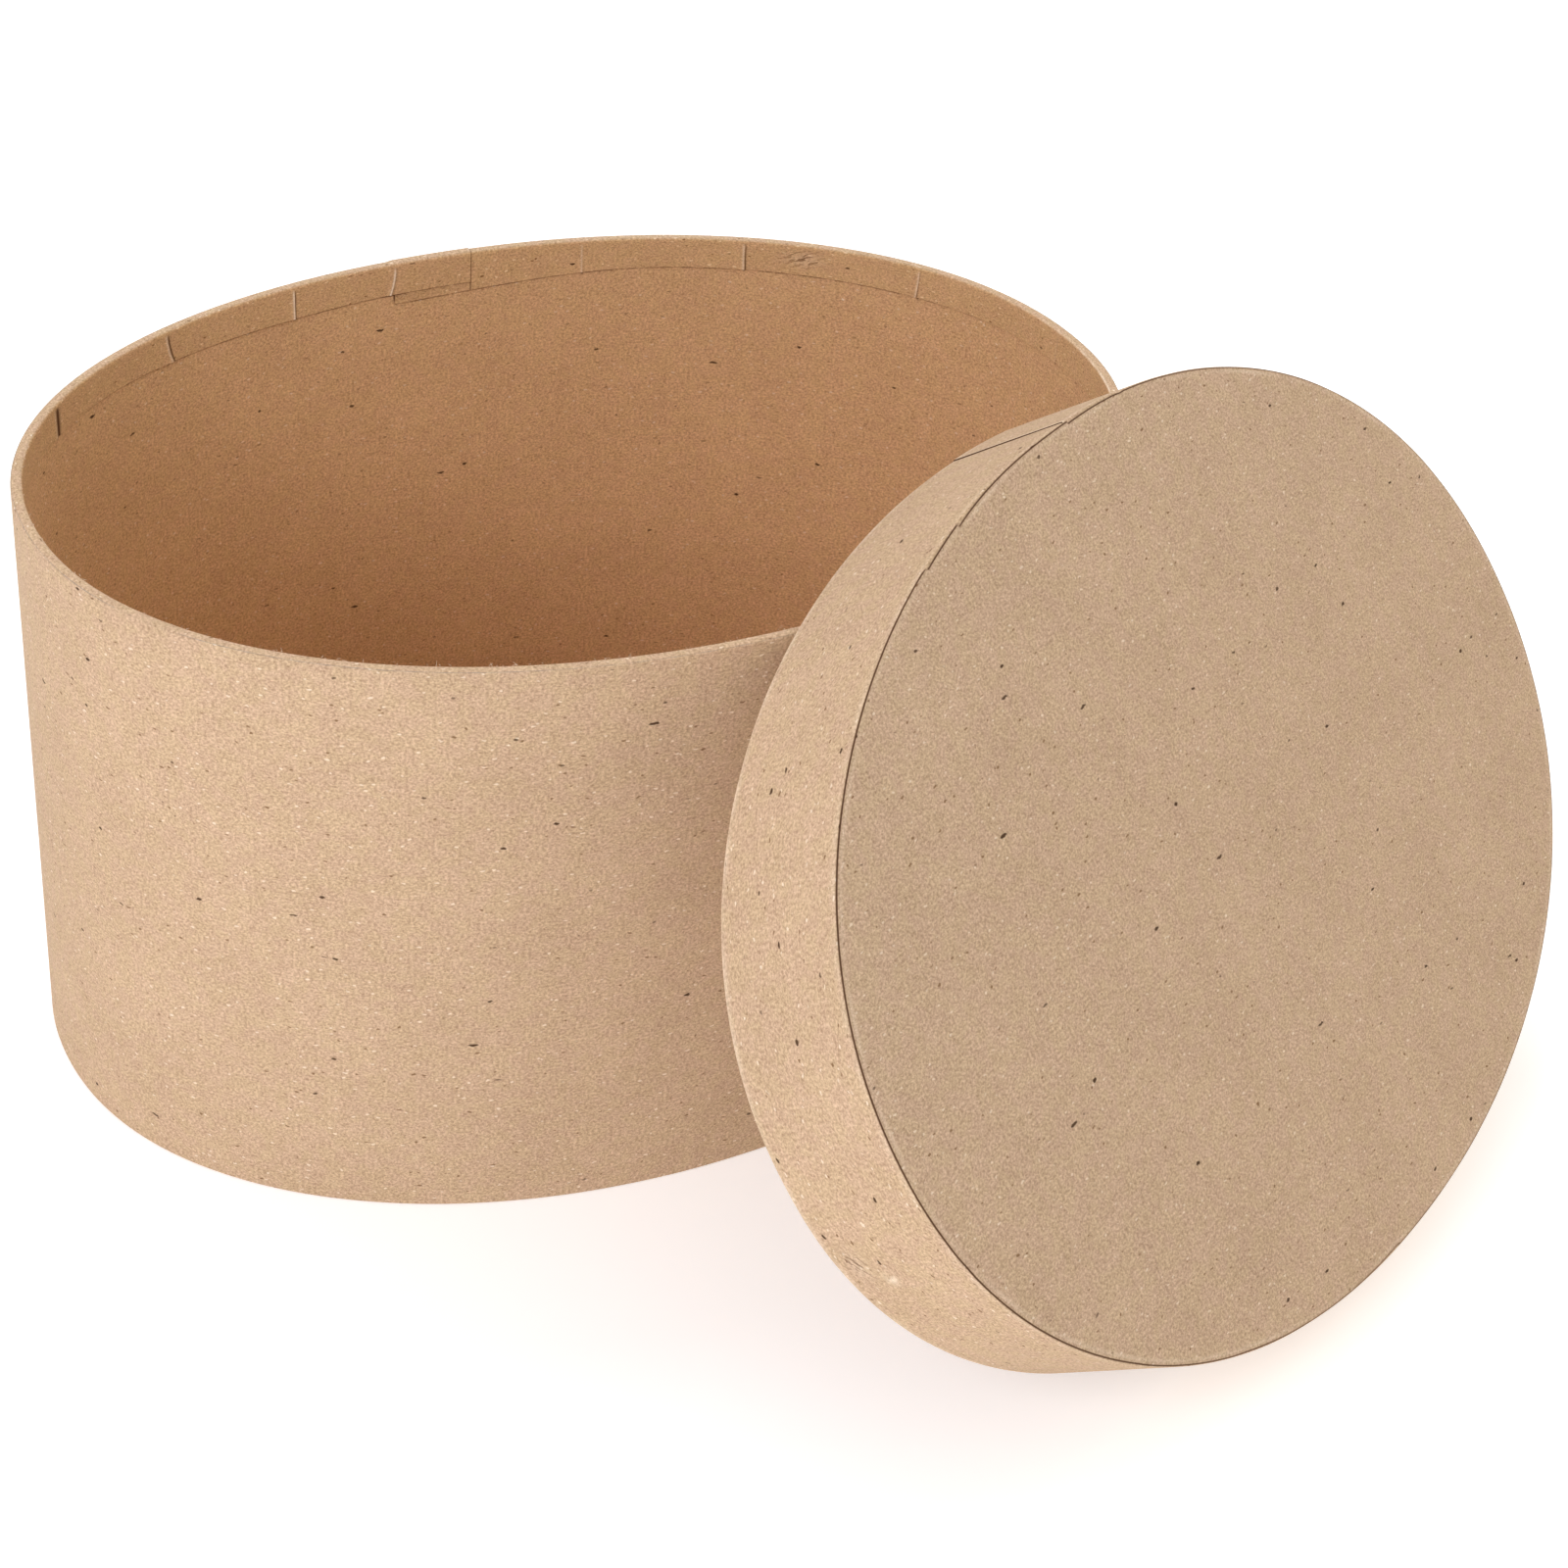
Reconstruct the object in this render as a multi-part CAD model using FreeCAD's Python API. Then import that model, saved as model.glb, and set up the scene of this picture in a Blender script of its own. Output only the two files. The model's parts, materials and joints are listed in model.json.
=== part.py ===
import FreeCAD, Part
import math
import os

# Oval hat box in paper-covered board, with its lift-off lid leaning against it.
# Millimetres. Z is up and the floor is Z = 0. The origin is the centre of the box's base,
# X runs along the oval's long axis.

# Oval outline, measured over the outside of the covered box wall
boxLength = 305.0
boxWidth = 220.0
boxHeight = 168.0
ovalExponent = 2.09
ovalPointCount = 72

# Stock
paper = 0.25
board = 2.25
wallThickness = paper + board + 2 * paper

# Box cover paper
boxHemDepth = 10.0
boxLapHemDepth = 12.5
turnUnderWidth = 12.0
baseCoverInset = 3.0
boxLapFrom = -12.0
boxLapTo = 12.0
snipWidth = 0.4
snipAngles = [0.6, 21.5, 43.4, 66, 112.8, 133.5, 154.3, 181, 207, 227, 247, 270, 293, 313, 333]
boardJointGap = 0.3

# Lid
lidClearance = 0.8
lidDepth = 37.5
lidHemDepth = 9.0
turnOverWidth = 10.0
topCoverInset = 0.45
lidLapFrom = 6.0
lidLapTo = 30.0

# How the lid stands: the centre of its top face, then the turn of the top's normal about Z,
# its lean away from straight up, and the turn of the oval in its own plane
lidCentre = FreeCAD.Vector(106.29, -162.04, 113.19)
lidYaw = -65.39
lidLean = 52.48
lidSpin = 91.83


def ovalPoint(angle, offset):
    """A point of the outline, moved outwards along its normal by offset."""
    halfLength = boxLength / 2
    halfWidth = boxWidth / 2
    across = abs(math.cos(angle) / halfLength)
    along = abs(math.sin(angle) / halfWidth)
    radius = (across ** ovalExponent + along ** ovalExponent) ** (-1 / ovalExponent)
    x = radius * math.cos(angle)
    y = radius * math.sin(angle)
    slopeX = math.copysign(abs(x / halfLength) ** (ovalExponent - 1) / halfLength, x)
    slopeY = math.copysign(abs(y / halfWidth) ** (ovalExponent - 1) / halfWidth, y)
    normal = FreeCAD.Vector(slopeX, slopeY, 0)
    normal.normalize()
    return FreeCAD.Vector(x, y, 0) + normal * offset


def ovalDisc(offset, bottom, top):
    """A solid oval plate between two heights."""
    points = []
    for i in range(ovalPointCount):
        points.append(ovalPoint(2 * math.pi * i / ovalPointCount, offset))
    curve = Part.BSplineCurve()
    curve.interpolate(Points=points, PeriodicFlag=True)
    face = Part.Face(Part.Wire([curve.toShape()]))
    face.translate(FreeCAD.Vector(0, 0, bottom))
    return face.extrude(FreeCAD.Vector(0, 0, top - bottom))


def ovalRing(outerOffset, innerOffset, bottom, top):
    """An oval tube between two offsets of the outline."""
    return ovalDisc(outerOffset, bottom, top).cut(ovalDisc(innerOffset, bottom, top))


def sideBand(ring, fromX, toX):
    """The stretch of a ring on the +Y side between two X positions."""
    low = ring.BoundBox.ZMin
    height = ring.BoundBox.ZMax - low
    window = Part.makeBox(toX - fromX, boxWidth, height, FreeCAD.Vector(fromX, 0, low))
    return ring.common(window)


def splitBoard(ring):
    """The board strip, bent round until its two ends meet under the lap."""
    low = ring.BoundBox.ZMin
    height = ring.BoundBox.ZMax - low
    gap = Part.makeBox(boardJointGap, boxWidth, height, FreeCAD.Vector(0, 0, low))
    return ring.cut(gap)


def snippedHem(ring):
    """The turned-in hem, snipped through so that it follows the curve."""
    low = ring.BoundBox.ZMin
    height = ring.BoundBox.ZMax - low
    for angle in snipAngles:
        slot = Part.makeBox(boxLength, snipWidth, height, FreeCAD.Vector(0, -snipWidth / 2, low))
        slot.rotate(FreeCAD.Vector(0, 0, 0), FreeCAD.Vector(0, 0, 1), angle)
        ring = ring.cut(slot)
    return ring


def fuse(pieces):
    whole = pieces[0].multiFuse(pieces[1:])
    return whole.removeSplitter()


def boxParts():
    boardBottom = 2 * paper
    boardTop = boxHeight - paper
    floorTop = boardBottom + board
    wrapInside = -paper
    boardInside = -paper - board
    linerInside = boardInside - paper
    hemInside = -wallThickness

    hem = snippedHem(ovalRing(linerInside, hemInside, boxHeight - boxHemDepth, boardTop))
    side = ovalRing(0, wrapInside, boardBottom, boardTop)
    overRim = ovalRing(0, hemInside, boardTop, boxHeight)
    turnUnder = ovalRing(0, -turnUnderWidth, paper, boardBottom)
    lapOutside = sideBand(ovalRing(paper, 0, paper, boxHeight), boxLapFrom, boxLapTo)
    lapOverRim = sideBand(
        ovalRing(paper, hemInside - paper, boxHeight, boxHeight + paper), boxLapFrom, boxLapTo)
    lapHem = sideBand(
        ovalRing(hemInside, hemInside - paper, boxHeight - boxLapHemDepth, boxHeight),
        boxLapFrom, boxLapTo)

    return {
        "box_wall_board": splitBoard(ovalRing(wrapInside, boardInside, boardBottom, boardTop)),
        "box_base_board": ovalDisc(boardInside, boardBottom, floorTop),
        "box_outer_wrap": fuse([side, overRim, hem, turnUnder, lapOutside, lapOverRim, lapHem]),
        "box_wall_liner": ovalRing(boardInside, linerInside, floorTop, boardTop),
        "box_base_liner": ovalDisc(linerInside, floorTop, floorTop + paper),
        "box_base_cover": ovalDisc(-baseCoverInset, 0, paper),
    }


def lidParts():
    """The lid lying level, with the centre of its top face at the origin."""
    outside = wallThickness + lidClearance
    edge = -lidDepth
    boardTop = -2 * paper
    boardBottom = edge + paper
    ceiling = boardTop - board
    wrapInside = outside - paper
    boardInside = wrapInside - board
    linerInside = boardInside - paper
    hemInside = outside - wallThickness

    side = ovalRing(outside, wrapInside, boardBottom, boardTop)
    underEdge = ovalRing(outside, hemInside, edge, boardBottom)
    hem = ovalRing(linerInside, hemInside, boardBottom, edge + lidHemDepth)
    turnOver = ovalRing(outside, outside - turnOverWidth, boardTop, -paper)
    lap = sideBand(ovalRing(outside + paper, outside, edge, -paper), lidLapFrom, lidLapTo)

    return {
        "lid_rim_board": splitBoard(ovalRing(wrapInside, boardInside, boardBottom, boardTop)),
        "lid_top_board": ovalDisc(boardInside, ceiling, boardTop),
        "lid_rim_wrap": fuse([side, underEdge, hem, turnOver, lap]),
        "lid_rim_liner": ovalRing(boardInside, linerInside, boardBottom, ceiling),
        "lid_top_liner": ovalDisc(linerInside, ceiling - paper, ceiling),
        "lid_top_cover": ovalDisc(outside - topCoverInset, -paper, 0),
    }


def leanLid(shape):
    """Carry a piece from the level lid to where the lid leans on the box."""
    origin = FreeCAD.Vector(0, 0, 0)
    upright = FreeCAD.Vector(0, 0, 1)
    shape.rotate(origin, upright, lidSpin)
    shape.rotate(origin, FreeCAD.Vector(0, 1, 0), lidLean)
    shape.rotate(origin, upright, lidYaw)
    shape.translate(lidCentre)
    return shape


os.makedirs("parts", exist_ok=True)
for name, shape in boxParts().items():
    shape.exportStep("parts/" + name + ".step")
for name, shape in lidParts().items():
    leanLid(shape).exportStep("parts/" + name + ".step")
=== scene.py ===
import json
import math

import bpy
import numpy as np
from mathutils import Matrix, Vector


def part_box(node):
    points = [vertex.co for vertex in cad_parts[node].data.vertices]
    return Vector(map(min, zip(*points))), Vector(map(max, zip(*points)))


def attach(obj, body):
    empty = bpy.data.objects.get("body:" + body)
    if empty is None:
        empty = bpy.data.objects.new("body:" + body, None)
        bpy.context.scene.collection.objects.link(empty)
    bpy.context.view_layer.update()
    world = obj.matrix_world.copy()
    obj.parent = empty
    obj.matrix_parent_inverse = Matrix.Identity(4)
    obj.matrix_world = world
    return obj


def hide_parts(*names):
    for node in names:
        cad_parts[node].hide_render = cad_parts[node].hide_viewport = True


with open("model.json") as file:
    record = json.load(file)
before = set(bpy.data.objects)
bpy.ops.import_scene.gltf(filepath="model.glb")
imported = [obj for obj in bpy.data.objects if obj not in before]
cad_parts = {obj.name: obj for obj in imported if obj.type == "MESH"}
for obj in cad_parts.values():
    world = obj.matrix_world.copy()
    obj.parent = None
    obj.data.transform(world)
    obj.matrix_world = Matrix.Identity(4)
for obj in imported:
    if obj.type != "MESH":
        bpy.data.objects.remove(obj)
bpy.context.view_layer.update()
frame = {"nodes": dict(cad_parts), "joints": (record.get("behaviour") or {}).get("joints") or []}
print("frame loaded")

# what every sheet shares, in metres
stock = {
    "paper": 0.00025,
    "wall": 0.003,       # board with the paper on both faces
    "exponent": 2.09,    # 2 draws a plain ellipse, more draws a squarer oval
    "lapSlope": 0.002,   # how far a sheet takes to climb over the end beneath it
}
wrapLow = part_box("box_outer_wrap")[0]
halfLength = -wrapLow.x
halfWidth = -wrapLow.y
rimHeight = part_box("box_wall_board")[1].z + stock["paper"]
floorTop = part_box("box_base_liner")[1].z

# the lid hangs level over the box at the far end of its swing, so turning back gives how it leans
swing = next(joint for joint in frame["joints"] if joint["name"] == "lid_swing")
leanTurn = Matrix.Rotation(-math.radians(swing["range_deg"][1]), 4, Vector(swing["axis"]))
coverLow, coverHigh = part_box("lid_top_cover")
lidNormal = (leanTurn @ Vector((0, 0, 1))).normalized()
lidCentre = (coverLow + coverHigh) / 2 + lidNormal * stock["paper"] / 2
lidPlace = Matrix.Translation(lidCentre) @ leanTurn


def ovalPoints(angles, offset):
    # the oval outline of the box, moved out along its normal
    n = stock["exponent"]
    c, s = np.cos(angles), np.sin(angles)
    radius = (np.abs(c / halfLength) ** n + np.abs(s / halfWidth) ** n) ** (-1 / n)
    x, y = radius * c, radius * s
    slopeX = np.sign(x) * np.abs(x / halfLength) ** (n - 1) / halfLength
    slopeY = np.sign(y) * np.abs(y / halfWidth) ** (n - 1) / halfWidth
    size = np.hypot(slopeX, slopeY)
    return x + offset * slopeX / size, y + offset * slopeY / size


# distance round the outline is measured clockwise from the middle of the back
roundAngles = np.linspace(math.pi / 2, math.pi / 2 - 2 * math.pi, 40001)
roundX, roundY = ovalPoints(roundAngles, 0)
roundLengths = np.concatenate([[0], np.cumsum(np.hypot(np.diff(roundX), np.diff(roundY)))])
girth = roundLengths[-1]


def angleAt(distance):
    return np.interp(distance % girth, roundLengths, roundAngles)


def distanceOf(degrees):
    # degrees run anticlockwise from the right end of the oval, so 90 is the middle of the back
    turned = (90 - degrees) % 360
    return float(np.interp(math.pi / 2 - math.radians(turned), roundAngles[::-1], roundLengths[::-1]))


def smooth(low, high, value):
    t = np.clip((value - low) / (high - low), 0, 1)
    return t * t * (3 - 2 * t)


def ripple(seed, across, along, longest, count=7):
    # a gentle uneven surface, about -1 to 1, with waves no longer than longest
    rng = np.random.default_rng(seed)
    total = 0
    for k in range(count):
        length = longest * (0.35 + 0.65 * rng.random())
        heading = rng.random() * 2 * math.pi
        phase = rng.random() * 2 * math.pi
        total = total + np.sin(
            2 * math.pi / length * (across * math.cos(heading) + along * math.sin(heading)) + phase)
    return total / count * 1.6


def spread(start, end, step, marks=(), reach=0.004):
    # stations along a sheet, crowded together near each mark
    points = list(np.linspace(start, end, max(2, int(round((end - start) / step)) + 1)))
    for mark in marks:
        for gap in (0.00006, 0.00016, 0.0003, 0.0005, 0.0008, 0.0013, 0.002, reach):
            points += [mark - gap, mark + gap]
    points = np.array(sorted(p for p in points if start <= p <= end))
    keep = np.concatenate([[True], np.diff(points) > 0.00003])
    return points[keep]


def foldedPath(corners, radii, spacing):
    # a path through corners in (offset, height), each corner turned with its radius
    corners = [np.array(c, float) for c in corners]
    path = [corners[0]]
    for i in range(1, len(corners) - 1):
        before = corners[i - 1] - corners[i]
        after = corners[i + 1] - corners[i]
        before, after = before / np.linalg.norm(before), after / np.linalg.norm(after)
        radius = radii[i - 1]
        first, last = corners[i] + before * radius, corners[i] + after * radius
        centre = first + after * radius
        runStart = path[-1]
        steps = max(1, int(np.linalg.norm(first - runStart) / spacing))
        for k in range(1, steps):
            path.append(runStart + (first - runStart) * k / steps)
        for k in range(7):
            turn = math.pi / 2 * k / 6
            path.append(centre + (first - centre) * math.cos(turn) + (last - centre) * math.sin(turn))
    return path, corners[-1]


def makePiece(name, points, faces, body, material, cadNodes, place=None, notes=None):
    mesh = bpy.data.meshes.new(name)
    if place is not None:
        turn = np.array(place.to_3x3())
        points = points @ turn.T + np.array(place.translation)
    mesh.from_pydata(points.tolist(), [], faces)
    for key, values in (notes or {}).items():
        kind = "FLOAT_VECTOR" if values.ndim == 2 else "FLOAT"
        field = "vector" if values.ndim == 2 else "value"
        layer = mesh.attributes.new(key, kind, "POINT")
        layer.data.foreach_set(field, values.astype(np.float32).ravel())
    mesh.polygons.foreach_set("use_smooth", [True] * len(mesh.polygons))
    mesh.set_sharp_from_angle(angle=math.radians(38))
    mesh.materials.append(material)
    mesh.validate()
    piece = bpy.data.objects.new(name, mesh)
    bpy.context.scene.collection.objects.link(piece)
    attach(piece, body)
    if cadNodes:
        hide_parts(*cadNodes)
    print("made", name, len(mesh.polygons), "faces")
    return piece


def gridFaces(rows, columns, first, closed, flip):
    a = first + np.arange(rows * columns).reshape(rows, columns)
    if closed:
        a = np.concatenate([a, a[:, :1]], axis=1)
    quads = np.stack([a[:-1, :-1], a[:-1, 1:], a[1:, 1:], a[1:, :-1]], -1).reshape(-1, 4)
    return quads[:, ::-1] if flip else quads


def stitch(frontLine, backLine, flip):
    quads = np.stack([frontLine[:-1], frontLine[1:], backLine[1:], backLine[:-1]], -1)
    return quads[:, ::-1] if flip else quads


def sheetBody(front, back, closed, hole=True):
    # a closed thin solid between two grids of points; the first row is left open when hole is off
    rows, columns = front.shape[:2]
    count = rows * columns
    faces = [gridFaces(rows, columns, 0, closed, False), gridFaces(rows, columns, count, closed, True)]
    ids = np.arange(count).reshape(rows, columns)
    if closed:
        ids = np.concatenate([ids, ids[:, :1]], axis=1)
    if hole:
        faces.append(stitch(ids[0], ids[0] + count, True))
    faces.append(stitch(ids[-1], ids[-1] + count, False))
    if not closed:
        faces.append(stitch(ids[:, 0], ids[:, 0] + count, False))
        faces.append(stitch(ids[:, -1], ids[:, -1] + count, True))
    points = np.concatenate([front.reshape(-1, 3), back.reshape(-1, 3)])
    return points, np.concatenate(faces).tolist()


def profileGrid(path, columns):
    # one folded profile, the same at every station
    offsets, heights = np.array(path).T
    return np.repeat(offsets[:, None], columns, 1), np.repeat(heights[:, None], columns, 1)


def sheetGrid(stations, offsets, heights):
    # each point's place on the flat sheet: round the oval, and along the folded profile
    steps = np.hypot(np.diff(offsets[:, 0]), np.diff(heights[:, 0]))
    return np.meshgrid(stations, np.concatenate([[0], np.cumsum(steps)]))


def sweepSheet(stations, offsets, heights, raised):
    # seen face from a profile at each station, raised along its own normal, and the glued face behind it
    stepOut, stepUp = np.gradient(offsets, axis=0), np.gradient(heights, axis=0)
    size = np.maximum(np.hypot(stepOut, stepUp), 1e-9)
    outward, upward = stepUp / size, -stepOut / size
    angles = angleAt(stations)
    faces = []
    for depth in (raised, raised - stock["paper"]):
        x, y = ovalPoints(angles, offsets + outward * depth)
        faces.append(np.stack([x, y, heights + upward * depth], -1))
    return faces


def makeSweptSheet(name, body, material, cadNode, sweep, notes, place=None):
    front, back = sweepSheet(*sweep)
    points, faces = sheetBody(front, back, False)
    makePiece(name, points, faces, body, material, [cadNode], place, notes)


def lineAt(distance, width):
    # 1 on a line and fading to nothing about its width away
    return np.exp(-(distance / width) ** 2)


def sheetNotes(across, along, **marks):
    # what the paper keeps at each point: its place on the roll, then painted shadow lines, rubbing with
    # painted highlights, and so on
    flat = np.stack([across, along, 0 * across], -1).reshape(-1, 3)
    notes = {"sheet": np.concatenate([flat, flat + [0.5, 0.5, 0]])}
    for name, values in marks.items():
        notes[name] = np.tile(np.clip(values, 0, 1).ravel(), 2)
    return notes


class Signal:
    # a socket that sums and products can be written with
    def __init__(self, paint, socket):
        self.paint = paint
        self.socket = socket

    def other(self, index):
        return Signal(self.paint, self.socket.node.outputs[index])

    def join(self, operation, first, second):
        return self.paint.add("ShaderNodeMath", {"operation": operation}, {0: first, 1: second})

    def __add__(self, other):
        return self.join("ADD", self, other)

    def __radd__(self, other):
        return self.join("ADD", other, self)

    def __sub__(self, other):
        return self.join("SUBTRACT", self, other)

    def __rsub__(self, other):
        return self.join("SUBTRACT", other, self)

    def __mul__(self, other):
        return self.join("MULTIPLY", self, other)

    def __rmul__(self, other):
        return self.join("MULTIPLY", other, self)


class Paint:
    # one material and its nodes
    def __init__(self, name):
        self.material = bpy.data.materials.new(name)
        self.material.use_nodes = True
        self.tree = self.material.node_tree
        self.tree.nodes.clear()

    def add(self, kind, settings=None, inputs=None, out=0):
        node = self.tree.nodes.new(kind)
        for key, value in (settings or {}).items():
            setattr(node, key, value)
        for key, value in (inputs or {}).items():
            if isinstance(value, Signal):
                self.tree.links.new(value.socket, node.inputs[key])
            else:
                node.inputs[key].default_value = value
        return Signal(self, node.outputs[out] if len(node.outputs) else None)

    def noise(self, place, size, detail=2.0, roughness=0.5, stretch=1.0):
        if stretch != 1.0:
            place = self.add("ShaderNodeVectorMath", {"operation": "MULTIPLY"},
                             {0: place, 1: (1 / stretch, 1, 1)})
        return self.add("ShaderNodeTexNoise", {"noise_dimensions": "2D"},
                        {"Vector": place, "Scale": 1 / size, "Detail": detail, "Roughness": roughness})

    def between(self, low, high, value):
        return self.add("ShaderNodeMapRange", {"interpolation_type": "SMOOTHSTEP", "clamp": True},
                        {"Value": value, "From Min": low, "From Max": high})

    def mix(self, mask, first, second, blend="MIX"):
        first, second = [c if isinstance(c, Signal) else (*c, 1) for c in (first, second)]
        return self.add("ShaderNodeMix", {"data_type": "RGBA", "blend_type": blend},
                        {0: mask, 6: first, 7: second}, out=2)

    def flecks(self, place, cell, radius, stretch, turn, share):
        # short fibres lying one way, in millimetres: only a share of the cells holds one
        turned = self.add("ShaderNodeMapping", {}, {
            "Vector": place, "Location": (turn * 1.7, turn * 0.37, 0), "Rotation": (0, 0, math.radians(turn)),
            "Scale": (1 / (cell * stretch), 1 / cell, 0.0)})
        distance = self.add("ShaderNodeTexVoronoi", {"voronoi_dimensions": "2D", "feature": "F1"},
                            {"Vector": turned, "Scale": 1.0})
        chance = self.add("ShaderNodeSeparateColor", {}, {0: distance.other(1)})
        largeness = self.between(1 - share, 1.0, chance)
        size = (largeness * 0.7 + 0.6) * (radius / cell)
        held = self.between(1 - share, 1 - share + 0.01, chance) * (largeness * 0.5 + 0.5)
        return self.between(0.0, 0.35 * radius / cell, size - distance) * held

    def finish(self, inputs):
        shader = self.add("ShaderNodeBsdfPrincipled", {}, inputs)
        self.add("ShaderNodeOutputMaterial", {}, {"Surface": shader})
        return self.material


# the pulp of the kraft paper, the same in every sheet, in millimetres
pulp = {
    # unevenness: size, detail, roughness, how much longer than wide
    "cloud": (26.0, 2.0, 0.5), "warmth": (6.0, 2.0, 0.6), "mottle": (3.2, 2.0, 0.6, 1.4),
    "grain": (0.62, 2.0, 0.8, 1.3), "folds": (1.0, 1.0, 0.4, 4.0),
    # fibres and specks: cell, half width, how much longer than wide, turn in degrees, share of cells with one
    "darkFibres": [(3.4, 0.24, 1.7, 14, 0.24), (4.1, 0.23, 2.4, 77, 0.24)],
    "strongSpecks": [(9.5, 0.36, 1.9, 35, 0.22), (13.0, 0.34, 3.4, 100, 0.2)],
    "paleFibres": [(2.3, 0.23, 1.7, 52, 0.25), (2.9, 0.22, 2.4, 158, 0.25)],
    "fibreBend": 0.7,       # how far fibres wander sideways
    "foldTurn": 32,         # slant of the crumple folds in degrees
    "foldRelief": 3.0,      # height of the folds and the mottle against the grain
    "mottleRelief": 0.8,
}
perMetre = 1000.0           # the sheets are laid out in metres


def kraftPaper(name, look):
    paint = Paint(name)
    roll = paint.add("ShaderNodeAttribute", {"attribute_name": "sheet"}, out=1)
    place = paint.add("ShaderNodeVectorMath", {"operation": "SCALE"}, {0: roll, 3: perMetre})
    bent = paint.add("ShaderNodeTexNoise", {"noise_dimensions": "2D"},
                     {"Vector": place, "Scale": 0.8, "Detail": 1.0}, out=1)
    wavy = paint.add("ShaderNodeVectorMath", {"operation": "MULTIPLY_ADD"},
                     {0: bent, 1: (pulp["fibreBend"], pulp["fibreBend"], 0), 2: place})
    crease, rub, inner, crumple = [paint.add("ShaderNodeAttribute", {"attribute_name": mark}, out=2)
                                   for mark in ("crease", "rub", "inner", "crumple")]

    # soft clouds in the pulp, then mottling, then the grain of the fibres
    cloud = paint.noise(place, *pulp["cloud"])
    mottle = paint.noise(place, *pulp["mottle"])
    grain = paint.noise(wavy, *pulp["grain"])
    tone = cloud * look["cloud"] + mottle * look["mottle"] + grain * look["grain"]
    tone = tone - (look["cloud"] + look["mottle"] + look["grain"]) / 2 + 0.5
    shade = paint.mix(tone, look["dark"], look["light"])
    warmth = paint.between(0.35, 0.65, paint.noise(place, *pulp["warmth"]))
    shade = paint.mix(0.5, shade, paint.mix(warmth, look["rosy"], look["yellow"]), blend="MULTIPLY")

    # bark specks and pale fibres lying in the sheet
    for kind, strength, colour in (
            ("paleFibres", "pale", "paleColour"),
            ("darkFibres", "fibres", "fibreColour"),
            ("strongSpecks", "specks", "speckColour")):
        shorter, longer = [paint.flecks(wavy, *fleck) for fleck in pulp[kind]]
        shade = paint.mix((shorter + longer) * look[strength], shade, look[colour])

    # the turned-in hem is tinted like the lining, a painted warm bounce light; pale marks are rubbed paper
    # and painted highlights; cuts, seams and corners hold painted shadow
    shade = paint.mix(inner, shade, look["innerTint"], blend="MULTIPLY")
    shade = paint.mix(rub * (0.45 + grain * 0.8), shade, look["rubColour"])
    slant = (0, 0, math.radians(pulp["foldTurn"]))
    slanted = paint.add("ShaderNodeMapping", {}, {"Vector": wavy, "Rotation": slant})
    folds = paint.between(0.40, 0.46, paint.noise(slanted, *pulp["folds"]))
    # painted shade in the hollows of the crumple folds, and a painted highlight on their crests
    shade = paint.mix(crumple * (1 - folds) * 0.65, shade, look["creaseColour"])
    shade = paint.mix(crumple * folds * 0.15, shade, look["rubColour"])
    # painted shadow along cuts, seams, steps and corners
    shade = paint.mix(crease * 0.95, shade, look["creaseColour"])

    height = grain + mottle * pulp["mottleRelief"] + crumple * folds * pulp["foldRelief"]
    bump = paint.add("ShaderNodeBump", {},
                     {"Strength": look["relief"], "Distance": look["reliefDepth"], "Height": height})
    return paint.finish({
        "Base Color": shade, "Roughness": 0.8 + grain * 0.2, "Normal": bump, "Specular IOR Level": 0.25,
    })


boardLook = {
    "dark": (0.17, 0.14, 0.11), "light": (0.36, 0.31, 0.25),
    "grain": 0.6, "layers": 3.0,    # millimetres
    "relief": 0.4, "reliefDepth": 0.0002,
}


def greyBoard(name):
    paint = Paint(name)
    place = paint.add("ShaderNodeTexCoord", {}, out=3)
    place = paint.add("ShaderNodeVectorMath", {"operation": "SCALE"}, {0: place, 3: perMetre})
    grain = paint.noise(place, boardLook["grain"], 4.0, 0.7)
    layers = paint.noise(place, boardLook["layers"], 3.0, 0.6)
    tone = paint.between(0.3, 0.7, grain * 0.6 + layers * 0.4)
    shade = paint.mix(tone, boardLook["dark"], boardLook["light"])
    bump = paint.add("ShaderNodeBump", {}, {
        "Strength": boardLook["relief"], "Distance": boardLook["reliefDepth"], "Height": grain})
    return paint.finish({"Base Color": shade, "Roughness": 0.85 + grain * 0.1, "Normal": bump})


# the same kraft paper outside, as lining, and on the top of the lid, which was cut from another sheet; the
# lining's copy is deeper and warmer to paint bounce light inside the box, and the lid top's copy is darker to
# paint shade
outsideLook = {
    "dark": (0.33, 0.21, 0.124), "light": (0.72, 0.525, 0.353),
    "cloud": 0.18, "mottle": 0.26, "grain": 1.85,
    "pale": 0.62, "fibres": 0.9, "specks": 0.97,
    "rosy": (1.0, 0.94, 0.93), "yellow": (0.99, 0.985, 0.86),
    "paleColour": (0.90, 0.76, 0.58), "fibreColour": (0.20, 0.105, 0.045),
    "speckColour": (0.06, 0.026, 0.009), "rubColour": (0.95, 0.79, 0.60),
    "creaseColour": (0.085, 0.032, 0.010), "innerTint": (1.10, 0.99, 0.79),
    "relief": 0.6, "reliefDepth": 0.00012,
}
insideBounceLook = dict(
    outsideLook, dark=(0.375, 0.21, 0.10), light=(0.82, 0.535, 0.293), grain=1.8, fibres=0.6, pale=0.4)
topShadedLook = dict(outsideLook, dark=(0.31, 0.20, 0.12), light=(0.68, 0.495, 0.34), pale=0.45)
outsidePaper = kraftPaper("kraftOutside", outsideLook)
insideBouncePaper = kraftPaper("kraftInsideBounce", insideBounceLook)
topShadedPaper = kraftPaper("kraftTopShaded", topShadedLook)
boardFinish = greyBoard("greyBoard")
print("materials ready")


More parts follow.
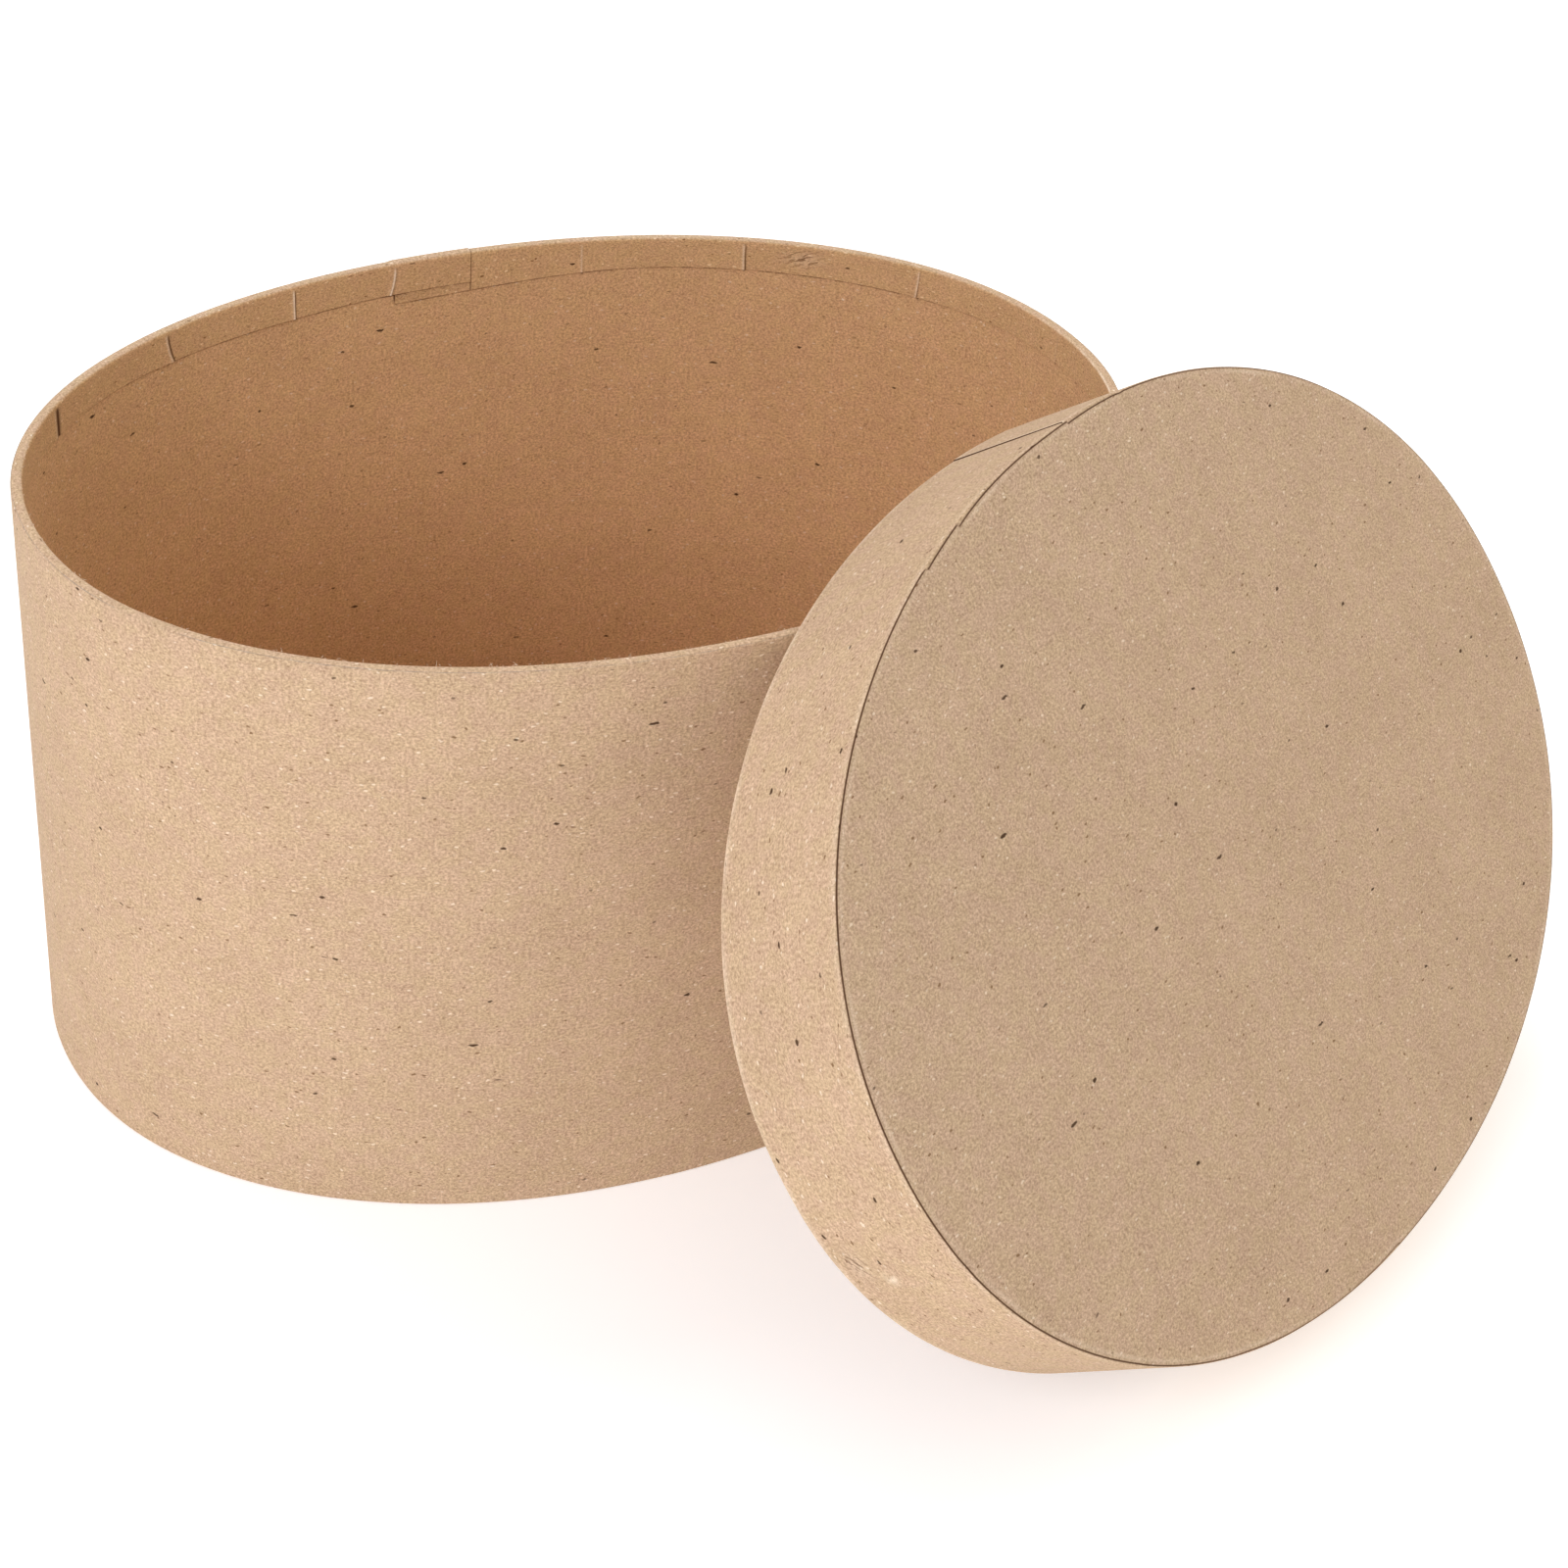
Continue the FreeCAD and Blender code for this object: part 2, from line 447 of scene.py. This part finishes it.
# cover paper of the box: one strip, lapped at the back, turned in over the rim and under the foot
boxWrap = {
    "overlap": 0.012,           # the two ends pass the middle of the back by this much
    "hemDepth": 0.0098,
    "lowerHemDepth": 0.0128,    # the end that lies underneath was cut longer
    "edgeRadius": 0.0009,
    "footRadius": 0.0006,
    "turnUnder": 0.012,
    "ridgeLean": -0.0016,       # the ridge over the lower end leans by this much on its way down
    "leanReach": 0.004,         # and a lean fades out over this far to each side
    "liftBefore": 0.006,        # a snip's edge lifts over this far on one side
    "liftAfter": 0.010,         # and less, over this far, on the other
    "crumple": (36.0, 0.0035),  # creased here, in degrees and metres down the hem
    "stationStep": 0.0022,
    "rowStep": 0.006,
    "uneven": 0.00003,          # how far the glued paper stands up and down
    # cuts that let the hem go round: degrees, how dark (groove depth and painted shadow), how pale (painted
    # highlight beside the cut), lean of the foot, lift, width
    "snips": [
        (0.6, 0.15, 0.1, 0.0, 0.0001, 0.0002), (21.5, 0.4, 0.5, -0.0004, 0.0003, 0.0002),
        (43.4, 0.7, 0.5, 0.0003, 0.0005, 0.0003), (66.0, 0.1, 0.35, 0.0002, 0.0001, 0.0002),
        (112.8, 0.8, 1.0, 0.0, 0.0004, 0.00025), (133.5, 1.0, 0.5, 0.0018, 0.0005, 0.0004),
        (154.3, 1.4, 0.3, 0.0, 0.0003, 0.0009), (181.0, 0.6, 0.4, 0.0004, 0.0003, 0.0003),
        (207.0, 0.5, 0.6, 0.0, 0.0002, 0.0002), (227.0, 0.7, 0.5, -0.0008, 0.0004, 0.0003),
        (247.0, 0.5, 0.7, 0.0, 0.0003, 0.0002), (270.0, 0.4, 0.5, 0.0005, 0.0002, 0.0003),
        (293.0, 0.7, 0.5, 0.0, 0.0003, 0.0003), (313.0, 0.6, 0.6, 0.0007, 0.0003, 0.0002),
        (333.0, 0.5, 0.8, 0.0, 0.0004, 0.0003),
    ],
}


def hemLine(distance):
    # how far down the turned-in edge reaches, hand cut and a little uneven
    wander = 0.00022 * np.sin(distance / 0.031 + 1.3) + 0.00018 * np.sin(distance / 0.0173 + 0.4)
    extra = (boxWrap["lowerHemDepth"] - boxWrap["hemDepth"]) * (1 - smooth(-0.02, 0.07, distance))
    return boxWrap["hemDepth"] + wander + np.where(distance < 0.2, extra, 0)


def broken(seed, distance, longest):
    # how strongly a hand-cut edge shows along its length, coming and going
    return 0.35 + 0.65 * smooth(-0.5, 0.5, ripple(seed, distance, 0 * distance, longest))


def makeBoxWrap():
    overlap, paper, wall = boxWrap["overlap"], stock["paper"], stock["wall"]
    start, end = -overlap, girth + overlap
    snips = [(distanceOf(degrees), *rest) for degrees, *rest in boxWrap["snips"]]
    ridge = girth - overlap
    marks = [snip[0] for snip in snips] + [ridge, overlap, end]
    stations = spread(start, end, boxWrap["stationStep"], marks)
    radius = boxWrap["edgeRadius"]
    corners = [(-boxWrap["turnUnder"], paper), (0, paper), (0, rimHeight), (-wall, rimHeight),
               (-wall, rimHeight - boxWrap["hemDepth"])]
    path, _ = foldedPath(corners, [boxWrap["footRadius"], radius, radius], boxWrap["rowStep"])
    bodyRows = len(path)

    # rows of the hem crowd at its own edge and where the upper end's edge lies over the lower end
    length = hemLine(stations) - radius
    lapped = stations < overlap
    gap = np.where(lapped, hemLine(stations) - hemLine(stations + girth), 0.0025)
    hemRows = [(length - gap - 0.0005) * share for share in (0.16, 0.32, 0.48, 0.64, 0.82, 1.0)]
    hemRows += [length - gap + step for step in (-0.0002, -0.00006, 0.00006, 0.0002, 0.0004)]
    hemRows += [length - step for step in (0.0006, 0.0003, 0.0001, 0)]
    hemDown = np.array(hemRows)
    columns = len(stations)
    offsets, heights = profileGrid(path, columns)
    offsets = np.concatenate([offsets, np.full_like(hemDown, -wall)])
    heights = np.concatenate([heights, rimHeight - radius - hemDown])
    hemPart = np.concatenate([np.zeros((bodyRows, columns)), hemDown / length])
    isHem = np.arange(len(heights))[:, None] >= bodyRows
    turnedUnder = (offsets > -wall / 2) & (heights < 0.001) | (offsets < -wall * 1.5)

    across, along = sheetGrid(stations, offsets, heights)
    lap = paper * smooth(ridge - stock["lapSlope"], ridge, across) * ~turnedUnder
    lap = lap - paper * turnedUnder * (across < overlap)
    raised = lap - boxWrap["uneven"] + boxWrap["uneven"] * ripple(5, across, along, 0.06)
    lean = 0 * across
    crease = 0 * across
    rub = 0 * across
    for at, dark, pale, leaning, lift, width in snips:
        away = across - at
        lifted = np.where(away < 0, np.exp(away / boxWrap["liftBefore"]),
                          0.15 * np.exp(-away / boxWrap["liftAfter"]))
        raised = raised + hemPart * (lift * lifted - 0.0002 * dark * lineAt(away, width * 0.6))
        lean = lean + leaning * hemPart ** 2 * lineAt(away, boxWrap["leanReach"])
        opening = smooth(0.0, 0.16, hemPart) * isHem
        # each cut gets a painted shadow along it and a painted highlight on the edge beside it
        crease = crease + opening * dark * lineAt(away - width * 0.3, width)
        rub = rub + opening * pale * lineAt(away + width * 1.4 + 0.0001, 0.0003)
    # the lower end presses a ridge through the upper one, with a painted highlight on it and a painted shadow
    # beside it, and each end has a thin painted shadow beside it
    lean = lean + boxWrap["ridgeLean"] * hemPart ** 2 * lineAt(across - ridge, boxWrap["leanReach"])
    rub = rub + isHem * smooth(0.0, 0.2, hemPart) * lineAt(across - ridge, 0.0003)
    crease = crease + isHem * 0.4 * lineAt(across - ridge - 0.0005, 0.00025)
    crease = crease + np.where(
        across < 0.1, 0.8 * lineAt(across - overlap - 0.0001, 0.00022), 0.5 * lineAt(across - end, 0.0001))
    # painted shadow along the foot of the upper end's hem, where it lies over the lower end
    upperEdge = hemDown - (length - gap)
    strength = 0.8 * broken(35, stations, 0.008) + lineAt(stations + overlap, 0.0035)
    crease[bodyRows:] += lineAt(upperEdge - 0.00012, 0.00022) * (upperEdge > -0.0001) * lapped * strength

    # the brow of the rim is rubbed fuzzy at the front
    atFront = smooth(0.20, 0.30, across / girth) * (1 - smooth(0.72, 0.8, across / girth))
    brow = lineAt(offsets + wall - 0.00018, 0.0002) * (heights > rimHeight - 0.0007)
    rub = rub + brow * atFront * (0.45 + 0.55 * smooth(-0.3, 0.6, ripple(13, across, 0 * along, 0.012)))
    crumpleAt, crumpleDown = distanceOf(boxWrap["crumple"][0]), boxWrap["crumple"][1]
    crumple = 0 * across
    crumple[bodyRows:] = lineAt(hemDown - crumpleDown, 0.0025)
    crumple = crumple * lineAt(across - crumpleAt, 0.006)
    # the inside face and hem take the tint that paints warm bounce light
    inner = smooth(-wall * 0.86, -wall * 0.99, offsets) * (heights > 0.02)
    notes = sheetNotes(across, along, crease=crease, rub=rub, inner=inner, crumple=crumple)
    makeSweptSheet("boxCoverPaper", "box", outsidePaper, "box_outer_wrap",
                   (across + lean, offsets, heights, raised), notes)


# lining of the box wall, lapped low at the front where the rim hides it
boxLining = {
    "lap": 0.006,
    "lapAt": 250,          # degrees round the oval
    "roll": 2.0,           # where on the roll it was cut
    "edgeShadow": 1.25,
    "stationStep": 0.0014,
    "uneven": 0.00003,
}


def makeBoxLining():
    paper, wall, overlap = stock["paper"], stock["wall"], boxWrap["overlap"]
    middle = distanceOf(boxLining["lapAt"])
    start, end = middle - girth - boxLining["lap"], middle + boxLining["lap"]
    snips = [distanceOf(snip[0]) for snip in boxWrap["snips"]]
    snips = snips + [at - girth for at in snips]
    seam = end - 2 * boxLining["lap"]
    stations = spread(start, end, boxLining["stationStep"], snips + [-overlap, seam])
    wrapped = np.where(stations < -overlap, stations + girth, stations)
    edge = hemLine(wrapped)
    below = np.array([0.0, 0.02, 0.05, 0.1, 0.2, 0.35, 0.5, 0.65, 0.8, 0.9, 0.95])
    near = np.array([0.0045, 0.003, 0.002, 0.0012, 0.0007, 0.0004, 0.00022, 0.0001, 0.0, -0.0004, -0.002])
    low = floorTop - paper
    heights = low + below[:, None] * (rimHeight - 0.020 - low) * np.ones_like(edge)
    heights = np.concatenate([heights, (rimHeight - edge)[None, :] - near[:, None]])[::-1]
    offsets = np.full_like(heights, paper - wall)
    across = np.repeat(stations[None, :], len(heights), 0)
    lap = paper * smooth(seam - stock["lapSlope"], seam, across)
    raised = lap - boxLining["uneven"] + boxLining["uneven"] * ripple(21, across, heights, 0.07)

    # painted shade: a thin broken shadow under the hem, a dark dot at the foot of each snip, the shadow of
    # the lower end's cut edge, and a darker corner at the floor
    gap = np.maximum((rimHeight - edge)[None, :] - heights, 0)
    atLap = lineAt(across + overlap, 0.004) * (across < -overlap)
    fades = (1 - 0.6 * smooth(0.11, 0.15, -across)) * (1 - 0.9 * smooth(0.14, 0.20, across))
    strength = boxLining["edgeShadow"] * broken(31, across, 0.009) * fades + atLap
    crease = strength * lineAt(gap, 0.00034)
    for at in snips:
        crease = crease + 0.9 * lineAt(across - at, 0.0004) * lineAt(gap, 0.0007)
    startEdge = (across < -overlap) * lineAt(across + overlap + 0.00015, 0.0003)
    crease = crease + startEdge * (gap < boxWrap["lowerHemDepth"] - boxWrap["hemDepth"])
    crease = crease + 0.3 * lineAt(heights - low, 0.0015)
    notes = sheetNotes(across, rimHeight - heights + boxLining["roll"], crease=crease)
    makeSweptSheet("boxWallLining", "box", insideBouncePaper, "box_wall_liner",
                   (across, offsets, heights, raised), notes)


# hairs torn up along the inner edge of the rim, round the front where hands and lid rub it
rimFibres = {"count": 110, "from": 160, "to": 345, "longest": 0.0015, "thickness": 0.00005}


def makeRimFibres():
    rng = np.random.default_rng(91)
    rings, sides = 5, 3
    points, faces, flat = [], [], []
    for k in range(rimFibres["count"]):
        angle = math.radians(rimFibres["from"] + (rimFibres["to"] - rimFibres["from"]) * rng.random())
        x, y = [float(v) for v in ovalPoints(np.array(angle), 0.00035 * rng.random() - stock["wall"])]
        inward = np.array([-math.cos(angle), -math.sin(angle), 0])
        sideways = np.array([-math.sin(angle), math.cos(angle), 0])
        heading = inward * (rng.random() - 0.35) + sideways * (rng.random() - 0.5) * 2.4
        heading = heading + [0, 0, 0.25 + rng.random() * 0.5]
        heading = heading / np.linalg.norm(heading)
        curl = np.array([0, 0, -1]) * rng.random() + sideways * (rng.random() - 0.5)
        length = rimFibres["longest"] * (0.3 + 0.7 * rng.random() ** 2)
        root = np.array([x, y, rimHeight - 0.00012])
        first = len(points)
        for ring in range(rings):
            t = ring / (rings - 1)
            middle = root + (heading * t + curl * 0.35 * t * t) * length
            thick = rimFibres["thickness"] * (1 - 0.6 * t)
            acrossHair = np.cross(heading, inward + [0, 0, 0.3])
            acrossHair = acrossHair / np.linalg.norm(acrossHair)
            other = np.cross(heading, acrossHair)
            for side in range(sides):
                turn = 2 * math.pi * side / sides
                points.append(middle + thick * (acrossHair * math.cos(turn) + other * math.sin(turn)))
                flat.append([x + t * length, y, 0])
        for ring in range(rings - 1):
            a = first + ring * sides
            for side in range(sides):
                b = (side + 1) % sides
                faces.append([a + side, a + b, a + b + sides, a + side + sides])
        faces.append([first + side for side in reversed(range(sides))])
        faces.append([first + (rings - 1) * sides + side for side in range(sides)])
    notes = {"sheet": np.array(flat), "rub": np.ones(len(points))}
    makePiece("rimFibres", np.array(points), faces, "box", outsidePaper,
              [], notes=notes)


def noWander(angles):
    return 0 * angles


def ovalDiscSheet(edgeOffset, edgeWander, sag, edgeDrop):
    # a cut oval of paper: rings from the middle out, the last ones close together
    angles = np.linspace(0, 2 * math.pi, 900, endpoint=False)
    edgeX, edgeY = ovalPoints(angles, edgeOffset + edgeWander(angles))
    nearEdge = (0.97, 0.985, 0.993, 0.9965, 0.9983, 0.9992, 1.0)
    rings = np.concatenate([np.linspace(0.02, 0.95, 34), nearEdge])[:, None]
    x, y = rings * edgeX, rings * edgeY
    z = -sag * (0.5 + 0.5 * ripple(3, x, y, 0.16)) - edgeDrop * smooth(0.985, 1.0, rings)
    return rings, x, y, z


def makeDisc(name, body, material, cadNode, disc, place=None):
    paper = stock["paper"]
    rings, x, y, z = ovalDiscSheet(
        disc["edge"], disc.get("wander", noWander), disc.get("sag", 0), disc["edgeDrop"])
    up = 1 if disc["faceUp"] else -1
    front = np.stack([x, y, disc["top"] + up * z], -1)
    tucked = disc["edgeDrop"] * 0.6 * smooth(0.985, 1.0, rings)
    back = np.stack([x, y, disc["top"] + up * (z - paper + tucked)], -1)
    if up < 0:
        front, back = front[:, ::-1], back[:, ::-1]
    rows, columns = x.shape
    points, faces = sheetBody(front, back, True, hole=False)
    # a fan of triangles closes the middle of each face
    ids = np.arange(columns)
    following = np.roll(ids, -1)
    middle, behind = len(points), rows * columns
    centre = front[0].mean(0)
    points = np.concatenate([points, [centre, centre - [0, 0, up * paper]]])
    fanFront = np.stack([np.full(columns, middle), following, ids], -1)
    fanBack = np.stack([np.full(columns, middle + 1), ids + behind, following + behind], -1)
    faces = faces + fanFront.tolist() + fanBack.tolist()
    # a painted shadow line round the edge, where the disc meets the paper beside it
    crease = disc["edgeShadowLine"] * smooth(0.9985, 0.9995, rings) * np.ones_like(x)
    rub = 0.35 * lineAt(rings - 0.992, 0.002) * (0.5 + 0.5 * ripple(41, x, y, 0.03))
    notes = sheetNotes(x, y + disc["roll"], crease=crease, rub=rub)
    for key, values in notes.items():
        extra = np.zeros((2,) + values.shape[1:])
        if key == "sheet":
            extra[:, 1] = disc["roll"]
        notes[key] = np.concatenate([values, extra])
    makePiece(name, points, faces, body, material, [cadNode], place, notes)


# top cover, cut by hand in slightly straight stretches with a slip of the scissors here and there
topCover = {
    "inset": 0.00045, "unevenness": 0.00022, "cuts": 34,
    # where the cut slips, in degrees round the oval, how far in, and how long it takes to come back
    "slips": [(86.0, 0.0006, 9.0), (113.5, 0.0008, 6.0), (121.5, 0.0008, 7.0), (262.0, 0.0004, 8.0)],
}


def cutEdge(angles):
    rng = np.random.default_rng(71)
    at = np.sort(rng.random(topCover["cuts"])) * 2 * math.pi
    depth = rng.random(topCover["cuts"]) - 0.5
    edge = topCover["unevenness"] * np.interp(angles, at, depth, period=2 * math.pi)
    for degrees, slip, length in topCover["slips"]:
        past = (degrees - np.degrees(angles)) % 360
        edge = edge - slip * np.exp(-past / length) * (past < 180)
    return edge


# cover paper of the lid rim, lapped beside the middle of its long side
lidWrap = {
    "clearance": 0.0008,
    "depth": 0.0375,
    "hemDepth": 0.009,     # turned in at the free edge
    "turnOver": 0.010,     # turned over on to the top
    "edgeRadius": 0.0004,
    "seam": 0.006,         # where the strip starts, along the long side from its middle
    "overlap": 0.024,      # how far its other end runs on underneath
    # a rubbed spot and a wrinkled one, in the lid's own place: length, width and down from its top
    "scuff": (-0.1522, -0.0283, -0.0241),
    "scuffSize": 0.0017,
    "wrinkle": (-0.1535, -0.0235, -0.0311),
    "wrinkleSize": 0.0045,
    "roll": 4.0,           # where on the roll it was cut
    "stationStep": 0.0015,
    "rowStep": 0.0016,
    "uneven": 0.00004,
}


def makeLidWrap():
    paper, wall = stock["paper"], stock["wall"]
    outside = wall + lidWrap["clearance"]
    inside = lidWrap["clearance"]
    bottom = -lidWrap["depth"]
    start, end = lidWrap["seam"], girth + lidWrap["seam"] + lidWrap["overlap"]
    ridge = start + lidWrap["overlap"]
    stations = spread(start, end, lidWrap["stationStep"], [start, ridge, girth + start])
    corners = [(inside, bottom + lidWrap["hemDepth"]), (inside, bottom), (outside, bottom), (outside, -paper),
               (outside - lidWrap["turnOver"], -paper)]
    radius = lidWrap["edgeRadius"]
    path, last = foldedPath(corners, [radius, radius, radius], lidWrap["rowStep"])
    shares = (0.008, 0.016, 0.024, 0.032, 0.04, 0.05, 0.06, 0.08, 0.1, 0.15, 0.4, 1.0)
    path = path + [path[-1] + (last - path[-1]) * share for share in shares]
    offsets, heights = profileGrid(path, len(stations))
    across, along = sheetGrid(stations, offsets, heights)
    side = offsets > outside - 0.0002
    turnedOver = smooth(-paper - 0.0003, -paper, heights)

    # on the top the upper end stays level, and the end under it sinks instead
    lap = paper * (1 - smooth(ridge, ridge + stock["lapSlope"], across)) * (1 - turnedOver)
    lap = lap - paper * turnedOver * (across > girth + start)
    raised = lap - lidWrap["uneven"] + lidWrap["uneven"] * ripple(55, across, along, 0.05)
    sweep = (across, offsets, heights, raised)
    front = sweepSheet(*sweep)[0]
    fromWrinkle = np.linalg.norm((front - lidWrap["wrinkle"]) * [1, 1, 1.7], axis=-1)
    fromScuff = np.linalg.norm((front - lidWrap["scuff"]) * [1, 1, 1.4], axis=-1)
    crumple = lineAt(fromWrinkle, lidWrap["wrinkleSize"]) * side
    torn = smooth(-0.4, 0.3, ripple(61, across, along, 0.004))
    rub = lineAt(fromScuff, lidWrap["scuffSize"]) * torn * side * 1.3
    rub = rub + 0.55 * lineAt(heights - bottom, 0.0006) * broken(63, across, 0.02)
    # a painted highlight along the rim's side just under its fold to the top
    rub = rub + 0.25 * lineAt(heights + 0.0009, 0.0005) * side * broken(65, across, 0.025)
    # a painted shadow on the turned-over paper beside the top cover's cut edge
    coverEdge = outside - topCover["inset"] + cutEdge(angleAt(stations))[None, :]
    onTop = smooth(-paper - 0.00012, -paper - 0.00004, heights)
    crease = onTop * lineAt(offsets - coverEdge - 0.00005, 0.0002)
    # the upper end's cut edge is painted dark as shade, with a thin painted shadow beside it and a painted
    # highlight on its lip
    besideEnd = lineAt(across - girth - start + 0.0001, 0.00026)
    shadow = np.where(across > 0.1, besideEnd, lineAt(across - start, 0.0001))
    crease = crease + shadow * side
    rub = rub + 0.5 * lineAt(across - start - 0.0005, 0.0003) * side
    # the turned-in hem takes the tint that paints warm bounce light
    inner = 1.0 * (offsets < inside + 0.0003)
    notes = sheetNotes(
        across, along + lidWrap["roll"], crease=crease, rub=rub, inner=inner, crumple=crumple)
    makeSweptSheet("lidRimPaper", "lid", outsidePaper, "lid_rim_wrap",
                   sweep, notes, lidPlace)


# lining of the lid rim: where it starts round the outline, and how far its ends lap
lidLining = {"from": -0.02, "overlap": 0.004, "stationStep": 0.002, "rows": 24, "roll": 6.0}


def makeLidLining():
    paper, wall = stock["paper"], stock["wall"]
    bottom = -lidWrap["depth"]
    start, overlap = lidLining["from"], lidLining["overlap"]
    seam = girth + start - overlap
    stations = spread(start, girth + start + overlap, lidLining["stationStep"], [seam])
    rows = np.linspace(-wall, bottom + paper, lidLining["rows"])
    heights = np.repeat(rows[:, None], len(stations), 1)
    across, along = np.meshgrid(stations, -rows)
    offsets = np.full_like(heights, lidWrap["clearance"] + paper)
    lap = paper * 0.9 * smooth(seam - stock["lapSlope"], seam + stock["lapSlope"], across)
    raised = lap * (heights > bottom + lidWrap["hemDepth"]) - 0.00002
    # a painted shadow just above the edge of the turned-in hem
    crease = 0.4 * lineAt(heights - bottom - lidWrap["hemDepth"] - 0.0004, 0.0005)
    notes = sheetNotes(across, along + lidLining["roll"], crease=crease)
    makeSweptSheet("lidRimLining", "lid", insideBouncePaper, "lid_rim_liner",
                   (across, offsets, heights, raised), notes, lidPlace)


makeBoxWrap()
makeBoxLining()
makeRimFibres()
makeLidWrap()
makeLidLining()

# flat ovals: the edge stands this far out from the box's outline, and roll is where on the roll it was cut
floorLining = {
    "edge": stock["paper"] - stock["wall"], "top": floorTop, "edgeDrop": 0.0001, "faceUp": True,
    "roll": 8.0, "edgeShadowLine": 0.5,
}
makeDisc("boxFloorLining", "box", insideBouncePaper, "box_base_liner", floorLining)
baseCover = {
    "edge": -0.003, "top": 0.0, "edgeDrop": 0.00005, "faceUp": False, "roll": 10.0, "edgeShadowLine": 0.4,
}
makeDisc("boxBaseCover", "box", outsidePaper, "box_base_cover", baseCover)
lidTop = {
    "edge": stock["wall"] + lidWrap["clearance"] - topCover["inset"], "wander": cutEdge, "sag": 0.00006,
    "top": 0.0, "edgeDrop": 0.00006, "faceUp": True, "roll": 12.0, "edgeShadowLine": 1.0,
}
makeDisc("lidTopPaper", "lid", topShadedPaper, "lid_top_cover", lidTop, lidPlace)
lidCeiling = {
    "edge": lidWrap["clearance"] - 0.00001, "top": -stock["wall"], "edgeDrop": 0.0001, "faceUp": False,
    "roll": 14.0, "edgeShadowLine": 0.4,
}
makeDisc("lidCeilingPaper", "lid", insideBouncePaper, "lid_top_liner", lidCeiling, lidPlace)
for node in ("box_wall_board", "box_base_board", "lid_rim_board", "lid_top_board"):
    board = frame["nodes"][node]
    board.data.materials.clear()
    board.data.materials.append(boardFinish)
print("pieces ready")


# floor, air, lamps and camera
floor = {"size": 12.0, "colour": (0.93, 0.93, 0.925, 1), "glow": 0.34}
bpy.ops.mesh.primitive_grid_add(size=floor["size"], x_subdivisions=2, y_subdivisions=2, location=(0, 0, 0))
floorPiece = bpy.context.object
floorPiece.name = "studioFloor"
floorPaint = Paint("paleFloor")
floorPiece.data.materials.append(floorPaint.finish({
    "Base Color": floor["colour"], "Roughness": 0.6,
    "Emission Color": floor["colour"], "Emission Strength": floor["glow"]}))

world = bpy.data.worlds.new("studioAir")
bpy.context.scene.world = world
world.use_nodes = True
air = {"colour": (1.0, 1.0, 1.0, 1), "strength": 0.62}
background = world.node_tree.nodes["Background"]
background.inputs["Color"].default_value = air["colour"]
background.inputs["Strength"].default_value = air["strength"]

lamps = {
    "leftSoftbox": {"place": (-1.1, -0.75, 0.95), "size": 0.9, "power": 11.0, "colour": (1.0, 0.995, 1.09)},
    "overheadSoftbox": {"place": (0.15, 0.9, 1.5), "size": 1.2, "power": 11.0, "colour": (1.0, 1.0, 1.03)},
    "rightSoftbox": {"place": (1.4, -0.35, 1.2), "size": 0.9, "power": 6.0, "colour": (1.0, 0.93, 0.82)},
}
lampAim = Vector((0, 0, 0.08))
for name, lamp in lamps.items():
    light = bpy.data.lights.new(name, "AREA")
    light.shape = "DISK"
    light.size = lamp["size"]
    light.energy = lamp["power"]
    light.color = lamp["colour"]
    holder = bpy.data.objects.new(name, light)
    bpy.context.scene.collection.objects.link(holder)
    holder.location = lamp["place"]
    towards = lampAim - Vector(lamp["place"])
    holder.rotation_euler = towards.to_track_quat("-Z", "Y").to_euler()

view = {
    "place": (-0.31335, -0.61246, 0.54608), "heading": 31.811, "down": 33.967, "roll": 5.245,
    "lens": 67.54, "sensor": 36, "shiftX": 0.0013, "shiftY": -0.0503, "nearest": 0.01,
}
camera = bpy.data.cameras.new("camera")
camera.lens = view["lens"]
camera.sensor_width = view["sensor"]
camera.shift_x = view["shiftX"]
camera.shift_y = view["shiftY"]
camera.clip_start = view["nearest"]
cameraHolder = bpy.data.objects.new("camera", camera)
bpy.context.scene.collection.objects.link(cameraHolder)
cameraHolder.matrix_world = (
    Matrix.Translation(Vector(view["place"]))
    @ Matrix.Rotation(-math.radians(view["heading"]), 4, "Z")
    @ Matrix.Rotation(math.radians(90 - view["down"]), 4, "X")
    @ Matrix.Rotation(math.radians(view["roll"]), 4, "Z"))
bpy.context.scene.camera = cameraHolder
bpy.context.scene.view_settings.view_transform = "Standard"

print("scene ready")
